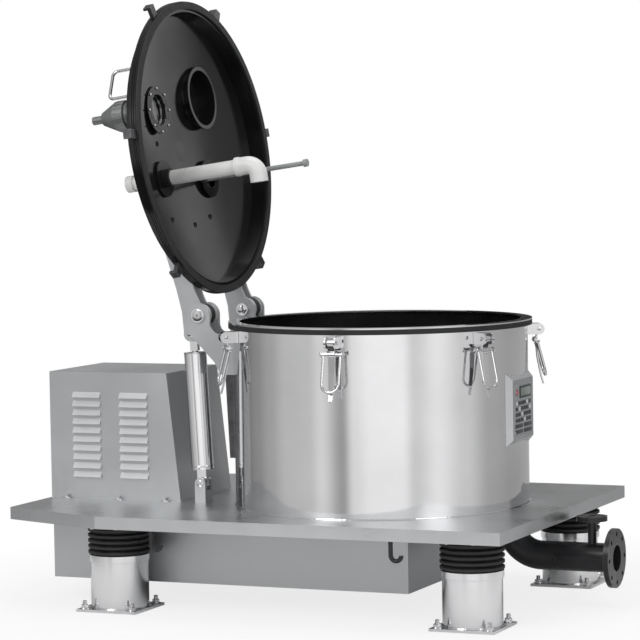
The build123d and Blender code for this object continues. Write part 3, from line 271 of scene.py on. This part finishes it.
finish = {
    "satin_steel": deck_steel, "polished_steel": bright_steel, "pale_grey_paint": grey,
    "black_gloss": black, "black_paint": pipe_black, "black_rubber": rubber, "white_plastic": pvc,
    "lamp_grey": cast, "keypad_grey": key_grey, "clear_glass": glass,
}
special = {
    "drum_shell": drum_steel, "belt_guard": skirt_steel, "motor_cover": cover_steel,
    "bearing_housing": inner_steel, "basket": holed, "spindle": inner_steel,
    "strut_tube_front": strut_steel, "strut_tube_back": strut_steel, "panel_housing": cover_steel,
    # the drum's lining, satin steel by its slot, is painted gloss black: painted shade for the dark inside of the drum
    # the spines are dark strips put where a shadowed gap shows beside each hinge bracket, painted dark grey: painted
    # shade
    "drum_lining": black, "rim_ring": bright_steel, "lid_lugs": dark_steel, "spines": dark_steel,
    "hooks": pipe_black, "riser": pipe_black, "wash_tube": wash, "feet": leg_steel, "damper_flanges": leg_steel,
}
slots = {s["node"]: s["material_slot"] for s in frame["record"]["subparts"]}


def paint(obj, mat):
    obj.data.materials.clear()
    obj.data.materials.append(mat.m)


for name, obj in nodes.items():
    mat = special.get(name, finish[slots[name]])
    for s in obj.material_slots:
        s.material = mat.m
    if not obj.material_slots:
        paint(obj, mat)


# ---------- mesh helpers ----------
def placed(name, bm):
    """Puts a finished bmesh in the scene as an object."""
    me = bpy.data.meshes.new(name)
    bm.to_mesh(me)
    bm.free()
    o = bpy.data.objects.new(name, me)
    scene.collection.objects.link(o)
    return o


def add(name, bm, mat, body):
    """A visual piece on a body, smooth but for its sharp edges."""
    o = placed(name, bm)
    for f in o.data.polygons:
        f.use_smooth = True
    o.data.set_sharp_from_angle(angle=math.radians(35))
    paint(o, mat)
    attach(o, body)


def around(count, lead=0.0):
    """Angles spread evenly round a circle, the first one moved on by a share of their pitch."""
    return [2 * math.pi * (i + lead) / count for i in range(count)]


def polar(radius, angle, z=0.0):
    return Vector((radius * math.cos(angle), radius * math.sin(angle), z))


def shift(x, y, z):
    return Matrix.Translation((x, y, z))


def spin(bm, profile, segments=32, place=Matrix.Identity(4)):
    """Turns a profile of (radius, height) points about Z; points on the axis close it."""
    rings = []
    for r, z in profile:
        angles = around(segments) if r > 1e-7 else [0.0]
        rings.append([bm.verts.new(place @ polar(r, a, z)) for a in angles])
    for a, b in zip(rings, rings[1:]):
        for i in range(segments):
            k = (i + 1) % segments
            quad = list(dict.fromkeys([a[i % len(a)], a[k % len(a)], b[k % len(b)], b[i % len(b)]]))
            if len(quad) > 2:
                bm.faces.new(quad)


def hexagon(bm, across, height, place):
    """A hex head or nut with its corners turned down at the top."""
    r = across / math.sqrt(3)
    chamfer = 0.12
    spin(bm, [(0, 0), (r, 0), (r, height * (1 - chamfer)), (r * (1 - chamfer), height), (0, height)], 6, place)


def bolt(bm, place, size, stud=0.0):
    """A bolt head on a washer, or a nut with the end of its stud, out along +Z of place."""
    washer, head, pitch = size * 0.17, size * 0.75, size * 0.17
    spin(bm, [(0, 0), (size * 1.05, 0), (size * 1.1, size * 0.08), (size * 1.05, washer), (0, washer)], 24, place)
    hexagon(bm, size * 1.6, head, place @ shift(0, 0, washer))
    if stud:
        z = washer + head
        turns = [(size * 0.5, z)]
        for i in range(int(stud / pitch)):
            turns += [(size * 0.43, z + (i + 0.5) * pitch), (size * 0.5, z + (i + 1) * pitch)]
        end = turns[-1][1] + size * 0.08
        spin(bm, turns + [(size * 0.4, end), (0, end)], 16, place)


def slab(bm, place, x, y, z, bevel):
    """A box standing on +Z of place, with rounded edges."""
    made = bmesh.ops.create_cube(bm, size=1.0, matrix=place @ shift(0, 0, z / 2) @ Matrix.Diagonal((x, y, z, 1)))
    edges = list({e for v in made["verts"] for e in v.link_edges})
    bmesh.ops.bevel(bm, geom=edges, offset=bevel, segments=2, affect="EDGES", profile=0.6)


def bead(bm, centre, radius, size, axis=(0, 0, 1), segments=160):
    """A weld bead: a thin rippled ring."""
    q = Vector((0, 0, 1)).rotation_difference(Vector(axis)).to_matrix().to_4x4()
    place = Matrix.Translation(centre) @ q
    rows = []
    for i, a in enumerate(around(segments)):
        r = size * (1 + 0.14 * math.sin(i * 2.4))
        rows.append([bm.verts.new(place @ polar(radius + r * math.cos(b), a, r * math.sin(b))) for b in around(8)])
    for i in range(segments):
        a, b = rows[i], rows[(i + 1) % segments]
        for j in range(8):
            bm.faces.new((a[j], b[j], b[(j + 1) % 8], a[(j + 1) % 8]))


def facing(point, direction, roll=(0, 0, 1)):
    """A frame at a point with +Z along direction."""
    z = Vector(direction).normalized()
    x = Vector(roll).cross(z)
    if x.length < 1e-6:
        x = Vector((1, 0, 0))
    x.normalize()
    y = z.cross(x)
    return Matrix.Translation(point) @ Matrix((x, y, z)).transposed().to_4x4()


# ---------- feet ----------
FEET = [(sx * 0.702, sy * 0.541) for sx in (-1, 1) for sy in (-1, 1)]
FLOOR_BOLT = 0.098              # from a foot's middle to its floor bolts, along and across
PLATE_TOP = 0.010
DECK_BOTTOM = 0.320
DAMPER_BOLTS = 0.129            # radius of the ring of bolts in the base plate round each bellows
TUBE_WELD = 0.1095
bm = bmesh.new()
for fx, fy in FEET:
    for bx in (-FLOOR_BOLT, FLOOR_BOLT):
        for by in (-FLOOR_BOLT, FLOOR_BOLT):
            bolt(bm, shift(fx + bx, fy + by, PLATE_TOP), 0.016, 0.016)
    for a in around(8, 0.5):
        bolt(bm, facing(Vector((fx, fy, DECK_BOTTOM)) + polar(DAMPER_BOLTS, a), (0, 0, -1)), 0.010)
add("foot_bolts", bm, bright_steel, "machine")
bm = bmesh.new()
for fx, fy in FEET:
    bead(bm, (fx, fy, 0.0115), TUBE_WELD, 0.0028)
    bead(bm, (fx, fy, 0.1835), TUBE_WELD, 0.0022)
add("foot_welds", bm, leg_steel, "machine")

# ---------- drum ----------
bm = bmesh.new()
bead(bm, (DRUM_X, 0, 0.3675), 0.5565, 0.0025, segments=400)
add("drum_base_weld", bm, drum_steel, "machine")

# ---------- control panel: screws, display, red lamp and plain keys on the keypad ----------
PANEL_X, PANEL_Z = 0.7084, 0.732          # keypad's face and middle height
UPPER = 0.062                             # display and lamp over the middle
EDGE = 0.0006                             # rounding of the keys


def on_panel(y, z, out=0.0):
    return facing((PANEL_X + out, y, PANEL_Z + z), (1, 0, 0))


bm = bmesh.new()
for sy in (-1, 1):
    for sz in (-1, 1):
        spin(bm, [(0, 0), (0.0045, 0), (0.0042, 0.0012), (0.003, 0.002), (0, 0.0021)], 20,
             on_panel(sy * 0.088, sz * 0.085))
add("panel_screws", bm, bright_steel, "machine")
bm = bmesh.new()
slab(bm, on_panel(0.022, UPPER), 0.118, 0.044, 0.0022, 0.0008)
add("panel_bezel", bm, key_dark, "machine")
bm = bmesh.new()
slab(bm, on_panel(0.022, UPPER, 0.0016), 0.104, 0.031, 0.0012, 0.0004)
add("panel_display", bm, screen, "machine")
bm = bmesh.new()
spin(bm, [(0, 0.004), (0.0075, 0.0035), (0.0095, 0.0015), (0.0095, 0)], 28, on_panel(-0.068, UPPER))
add("panel_lamp", bm, red, "machine")
bm = bmesh.new()
spin(bm, [(0.0095, 0), (0.0125, 0), (0.0125, 0.0016), (0.0095, 0.0022), (0.0095, 0)], 28, on_panel(-0.068, UPPER))
add("panel_lamp_ring", bm, bright_steel, "machine")
dark, pale = bmesh.new(), bmesh.new()
for row in range(4):
    for col in range(6):
        where = on_panel(-0.070 + col * 0.028, 0.022 - row * 0.021)
        slab(pale if (row * 5 + col * 3) % 4 == 0 else dark, where, 0.021, 0.013, 0.0016, EDGE)
for row in range(2):
    for col in range(2):
        slab(dark, on_panel(-0.048 + col * 0.096, -0.062 - row * 0.021), 0.078, 0.013, 0.0016, EDGE)
add("panel_keys_dark", dark, key_dark, "machine")
add("panel_keys_pale", pale, key_pale, "machine")

# ---------- motor cover: bolted tabs along its foot ----------
bm = bmesh.new()
for x in (-1.085, -0.86, -0.66):
    for sy in (-1, 1):
        slab(bm, shift(x, sy * 0.2365, 0.3663), 0.034, 0.022, 0.004, 0.001)
        bolt(bm, shift(x, sy * 0.2375, 0.3703), 0.009)
add("cover_bolts", bm, bright_steel, "machine")

# ---------- lid, in its own directions: along it, across it and out of its top ----------
HINGE = Vector((-0.498, 0, 1.080))
OPEN = math.radians(97.7)
ALONG = Vector((math.cos(OPEN), 0, math.sin(OPEN)))
OUT = Vector((-math.sin(OPEN), 0, math.cos(OPEN)))
LID = HINGE + ALONG * 0.639 - OUT * 0.008          # middle of the lid's face
SIGHT, HAND, FEED, WASH = (0.157, -0.187), (0.205, 0.187), (-0.106, -0.203), (-0.112, 0.187)
DOME_TOP, DOME_RISE, DOME_RADIUS = 0.111, 0.054, 0.518


def on_lid(x, y, height=0.0, inward=False):
    """A frame on the lid with +Z out of its top, or out of its inner side for inward."""
    z = -OUT if inward else OUT
    m = Matrix((ALONG, z.cross(ALONG), z)).transposed().to_4x4()
    return Matrix.Translation(LID + ALONG * x + Vector((0, y, 0)) + OUT * height) @ m


def dome(r):
    """Height of the dome's inner face over the lid's face."""
    sphere = (DOME_RADIUS ** 2 + DOME_RISE ** 2) / (2 * DOME_RISE)
    return DOME_TOP - sphere + math.sqrt(sphere ** 2 - r * r)


# clamp ring with cap screws inside the sight port, and the small ring in the wash port
bm = bmesh.new()
clamp = on_lid(*SIGHT, dome(math.hypot(*SIGHT) + 0.092) - 0.0068, True)
spin(bm, [(0.060, 0.004), (0.060, 0.0), (0.074, 0.0), (0.0755, 0.001), (0.0755, 0.004)], 72,
     clamp @ shift(0, 0, -0.0035))
for a in around(8):
    spin(bm, [(0.0046, 0), (0.0046, 0.004), (0.0038, 0.0048), (0.0024, 0.0048), (0.0024, 0.002), (0, 0.002)], 16,
         clamp @ Matrix.Translation(polar(0.083, a)))
spin(bm, [(0.0375, 0.004), (0.0375, -0.02), (0.036, -0.02), (0.036, 0.004), (0.0375, 0.004)], 60,
     on_lid(*WASH, dome(math.hypot(*WASH) + 0.074) - 0.0068, True))
add("port_clamps", bm, bright_steel, "lid")

# dark sleeve where the feed pipe passes the lid, a painted reflection: it stands in for the pipe's mirror image in the
# lid's gloss; and ribs round the elbow's socket
bm = bmesh.new()
spin(bm, [(0.0282, -0.012), (0.0345, -0.012), (0.0355, -0.010), (0.0355, 0.036), (0.034, 0.038), (0.0282, 0.038)], 48,
     on_lid(*FEED, dome(0.23) - 0.006, True))
add("feed_pipe_painted_reflection", bm, rubber, "lid")
bm = bmesh.new()
for z in (0.214, 0.222):
    spin(bm, [(0.034, 0), (0.0365, 0.001), (0.0365, 0.005), (0.034, 0.006)], 48, on_lid(*FEED, -z, True))
add("elbow_collar", bm, pvc, "lid")

# ribs, rings and bolts of the lamp
LAMP_BASE = 0.2152              # height over the lid's face at which the lamp's ribs begin
bm = bmesh.new()
for a in around(18):
    slab(bm, on_lid(*SIGHT, LAMP_BASE) @ Matrix.Rotation(a, 4, "Z") @ shift(0.0585, 0, 0.002),
         0.004, 0.005, 0.038, 0.001)
for z in (0.048, 0.030, 0.012):
    spin(bm, [(0.0448, 0), (0.0485, 0.0015), (0.0485, 0.0055), (0.0448, 0.007)], 40, on_lid(*SIGHT, LAMP_BASE - z))
add("lamp_ribs", bm, cast, "lid")
bm = bmesh.new()
for a in around(3, 0.2):
    bolt(bm, on_lid(*SIGHT, LAMP_BASE - 0.062) @ Matrix.Translation(polar(0.055, a)), 0.006)
add("lamp_bolts", bm, bright_steel, "lid")

# plugs in the lid's small threaded holes
bm = bmesh.new()
for x, y in ((0.030, -0.205), (-0.265, -0.190), (-0.290, 0.010), (-0.262, 0.150)):
    spin(bm, [(0.0105, 0.0), (0.0105, 0.0022), (0.0085, 0.0028), (0.0075, 0.0005), (0, 0.0004)], 24,
         on_lid(x, y, dome(math.hypot(x, y)), True))
add("lid_plugs", bm, hole_dark, "lid")

# studs and nuts round the hand hole's cover
bm = bmesh.new()
for a in around(6, 0.5):
    bolt(bm, on_lid(*HAND, 0.1552) @ Matrix.Translation(polar(0.117, a)), 0.010, 0.008)
add("cover_nuts", bm, bright_steel, "lid")

# weld beads where the ports stand in the lid's outer face
bm = bmesh.new()
for (x, y), r in ((SIGHT, 0.066), (HAND, 0.115), (FEED, 0.0343), (WASH, 0.044)):
    foot = on_lid(x, y, dome(math.hypot(x, y)) + 0.0042).translation
    bead(bm, foot, r + 0.001, 0.0022, axis=OUT, segments=120)
add("port_welds", bm, black, "lid")

# ---------- hinge ----------
ARM_Y = 0.203                   # middle of a lid arm and of the strut in line with it
bm = bmesh.new()
for s in (-1, 1):
    spin(bm, [(0.0156, -0.0215), (0.039, -0.0215), (0.040, -0.0205), (0.040, 0.0205), (0.039, 0.0215),
              (0.0156, 0.0215)], 48, facing((HINGE.x, s * ARM_Y, HINGE.z), (0, 1, 0)))
add("hinge_bushes", bm, rubber, "lid")
bm = bmesh.new()
for s in (-1, 1):
    spin(bm, [(0, 0.0005), (0.021, 0.0005), (0.0225, 0), (0.0225, 0.0025), (0.021, 0.0032), (0.006, 0.0032),
              (0.005, 0.0012), (0, 0.0012)], 40, facing((HINGE.x, s * 0.2571, HINGE.z), (0, s, 0)))
    hexagon(bm, 0.032, 0.010, facing((HINGE.x, s * 0.1377, HINGE.z), (0, -s, 0)))
add("hinge_caps", bm, bright_steel, "machine")

# ---------- struts ----------
FOOT = Vector((-0.512, 0, 0.438))
TAIL = HINGE + ALONG * -0.066 + OUT * 0.0515
FORK_OUT = 0.0321               # from a strut's middle to the heads on its pins
LEAN = (TAIL - FOOT).normalized()
for s, side in ((-1, "front"), (1, "back")):
    start = FOOT + Vector((0, s * ARM_Y, 0))
    bm = bmesh.new()
    spin(bm, [(0.0386, -0.006), (0.0386, 0.0), (0.0432, 0.0008), (0.0436, 0.003), (0.0432, 0.0052), (0.0386, 0.006),
              (0.037, 0.004), (0.037, -0.006)], 48, facing(start + LEAN * 0.495, LEAN, (1, 0, 0)))
    spin(bm, [(0.0426, -0.003), (0.0434, -0.0015), (0.0434, 0.0015), (0.0426, 0.003)], 48,
         facing(start + LEAN * 0.066, LEAN, (1, 0, 0)))
    add("strut_rings_" + side, bm, bright_steel, "strut_tube_" + side)
foot_head = [(0, 0.0045), (0.011, 0.004), (0.0135, 0.0025), (0.0145, 0)]
tail_head = [(0, 0.0045), (0.009, 0.004), (0.0115, 0.0025), (0.0125, 0)]
for name, body, pin, head in (("strut_pin_heads", "machine", FOOT, foot_head),
                              ("tail_pin_heads", "lid", TAIL, tail_head)):
    bm = bmesh.new()
    for s in (-1, 1):
        for e in (-1, 1):
            spin(bm, head, 32, facing(pin + Vector((0, s * ARM_Y + e * FORK_OUT, 0)), (0, e, 0)))
    add(name, bm, bright_steel, body)

# ---------- latches ----------
LATCH_PITCH = 56.5                                  # degrees
PIN_RADIUS, PIN_Z, PIN_END = 0.601, 1.008, 0.0211   # a lever's pin: distance from the drum's axis, height, half length
BAR_RADIUS, BAR_Z, BAR_END = 0.592, 0.966, 0.0411   # the same for a bail's crossbar
ears = bmesh.new()
for i in range(6):
    a = math.radians(LATCH_PITCH * (i - 2.5))
    aside = Vector((-math.sin(a), math.cos(a), 0))
    pin = Vector((DRUM_X, 0, PIN_Z)) + polar(PIN_RADIUS, a)
    cross = Vector((DRUM_X, 0, BAR_Z)) + polar(BAR_RADIUS, a)
    bar = bmesh.new()
    for e in (-1, 1):
        hexagon(ears, 0.013, 0.004, facing(pin + aside * e * PIN_END, aside * e))
        hexagon(bar, 0.015, 0.005, facing(cross + aside * e * BAR_END, aside * e))
        spin(bar, [(0.0075, -0.0006), (0.0098, 0), (0.0098, 0.002), (0.0075, 0.0026)], 20,
             facing(cross + aside * e * (BAR_END - 0.0026), aside * e))
    add(f"bail_nuts_{i + 1}", bar, bright_steel, f"latch_bail_{i + 1}")
add("ear_nuts", ears, bright_steel, "machine")

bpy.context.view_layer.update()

# ---------- floor ----------
WHITE = (1, 1, 1, 1)


def floor_mat():
    """Pale matt floor; towards its rim the camera sees it go over into the white round it."""
    m = Mat("floor_white", (0.93, 0.93, 0.93), 0.0, 0.9)
    m.tint(m.noise(2.0), 0.995, 1.0)
    path = m.node("ShaderNodeLightPath")
    glow = m.node("ShaderNodeEmission", Color=WHITE, Strength=1.0)
    far = m.node("ShaderNodeVectorMath", operation="LENGTH")
    m.link(m.coord, far.inputs[0])
    white = m.span(far.outputs["Value"], 0.80, 1.0, 1.3, 2.1)
    seen = m.calc("MULTIPLY", path.outputs["Is Camera Ray"], white)
    m.link(m.either(seen, m.p.outputs[0], glow.outputs[0]), m.t.nodes["Material Output"].inputs["Surface"])
    return m


bm = bmesh.new()
bmesh.ops.create_circle(bm, cap_ends=True, radius=2.2, segments=96)
floor = placed("floor", bm)
paint(floor, floor_mat())

# ---------- world: white to the camera, plain light for matt surfaces, a studio for shiny ones ----------
world = bpy.data.worlds.new("studio")
scene.world = world
world.use_nodes = True
sky = Tree(world.node_tree)
path = sky.node("ShaderNodeLightPath")
coord = sky.node("ShaderNodeTexCoord")
toward = sky.node("ShaderNodeSeparateXYZ")
sky.link(coord.outputs["Generated"], toward.inputs[0])
azimuth = sky.calc("ARCTAN2", toward.outputs["Y"], toward.outputs["X"])
# panels by azimuth in degrees and brightness: pale in front, a narrow dark one beside that, darkest behind on the left
stops = [(-180, 0.30), (-164, 0.42), (-146, 0.58), (-126, 0.62), (-115, 0.80), (-98, 0.40), (-89, 0.90), (-76, 1.05),
         (-52, 1.05), (-42, 0.76), (-24, 0.96), (0, 0.70), (25, 0.44), (50, 0.38), (90, 0.42), (106, 0.50),
         (118, 0.30), (132, 0.08), (150, 0.03), (162, 0.20), (180, 0.30)]
ring = sky.node("ShaderNodeValToRGB")
ring.color_ramp.interpolation = "EASE"
e = ring.color_ramp.elements
e[0].position, e[1].position = 0.0, 1.0
for spot, (_, v) in zip((e[0], e[1]), (stops[0], stops[-1])):
    spot.color = (v, v, v, 1)
for a, v in stops[1:-1]:
    e.new((a + 180) / 360).color = (v, v, v, 1)
sky.link(sky.span(azimuth, 0.0, 1.0, -math.pi, math.pi), ring.inputs["Fac"])
# well below the horizon they darken, and overhead they give way to one even ceiling
dim = sky.node("ShaderNodeVectorMath", operation="SCALE")
sky.link(ring.outputs["Color"], dim.inputs[0])
sky.link(sky.span(toward.outputs["Z"], 0.12, 1.0, -0.30, -0.09, "SMOOTHSTEP"), dim.inputs["Scale"])
panels = sky.node("ShaderNodeMix", data_type="RGBA")
sky.link(sky.span(toward.outputs["Z"], 0.0, 1.0, 0.35, 0.8, "SMOOTHSTEP"), panels.inputs["Factor"])
sky.link(dim.outputs[0], panels.inputs["A"])
panels.inputs["B"].default_value = (0.5, 0.5, 0.5, 1)
studio = sky.t.nodes["Background"]
sky.link(panels.outputs["Result"], studio.inputs["Color"])
plain = sky.node("ShaderNodeBackground", Color=WHITE, Strength=0.55)
white = sky.node("ShaderNodeBackground", Color=WHITE, Strength=1.0)
lit = sky.either(path.outputs["Is Diffuse Ray"], studio.outputs[0], plain.outputs[0])
sky.link(sky.either(path.outputs["Is Camera Ray"], lit, white.outputs[0]),
         sky.t.nodes["World Output"].inputs["Surface"])


# ---------- sheets and lamps ----------
def backcloth(name, at, to, x, z, strength):
    """A sheet behind the machine that only shiny surfaces mirror; black without a strength."""
    bm = bmesh.new()
    slab(bm, facing(at, Vector(to) - Vector(at)), x, z, 0.02, 0.004)
    o = placed(name, bm)
    mat = Mat(name, (0.006, 0.006, 0.006), 0.0, 0.7)
    mat.p.inputs["Emission Color"].default_value = WHITE
    mat.p.inputs["Emission Strength"].default_value = strength
    paint(o, mat)
    o.visible_camera = o.visible_diffuse = o.visible_shadow = False


def area(name, at, to, size, power):
    d = bpy.data.lights.new(name, "AREA")
    d.size = size
    d.energy = power
    o = bpy.data.objects.new(name, d)
    scene.collection.objects.link(o)
    o.location = at
    o.rotation_euler = (Vector(to) - Vector(at)).to_track_quat("-Z", "Y").to_euler()


# The lid's hollow mirrors the edge where the low dark sheet and the pale one over it meet
backcloth("dark_cloth", (0.9, 3.6, 1.5), (0.5, 2.685, 1.5), 4.6, 1.16, 0.0)
backcloth("pale_cloth", (0.3, 4.1, 3.4), (0.05, 3.1, 3.4), 2.8, 2.6, 0.9)

area("key", (-2.5, -6.5, 5.5), (0, 0, 0.8), 3.0, 150)
area("fill", (6.0, -3.0, 4.0), (0, 0, 0.8), 3.0, 60)
area("top", (0.0, 0.5, 6.5), (0, 0, 0.5), 4.0, 90)
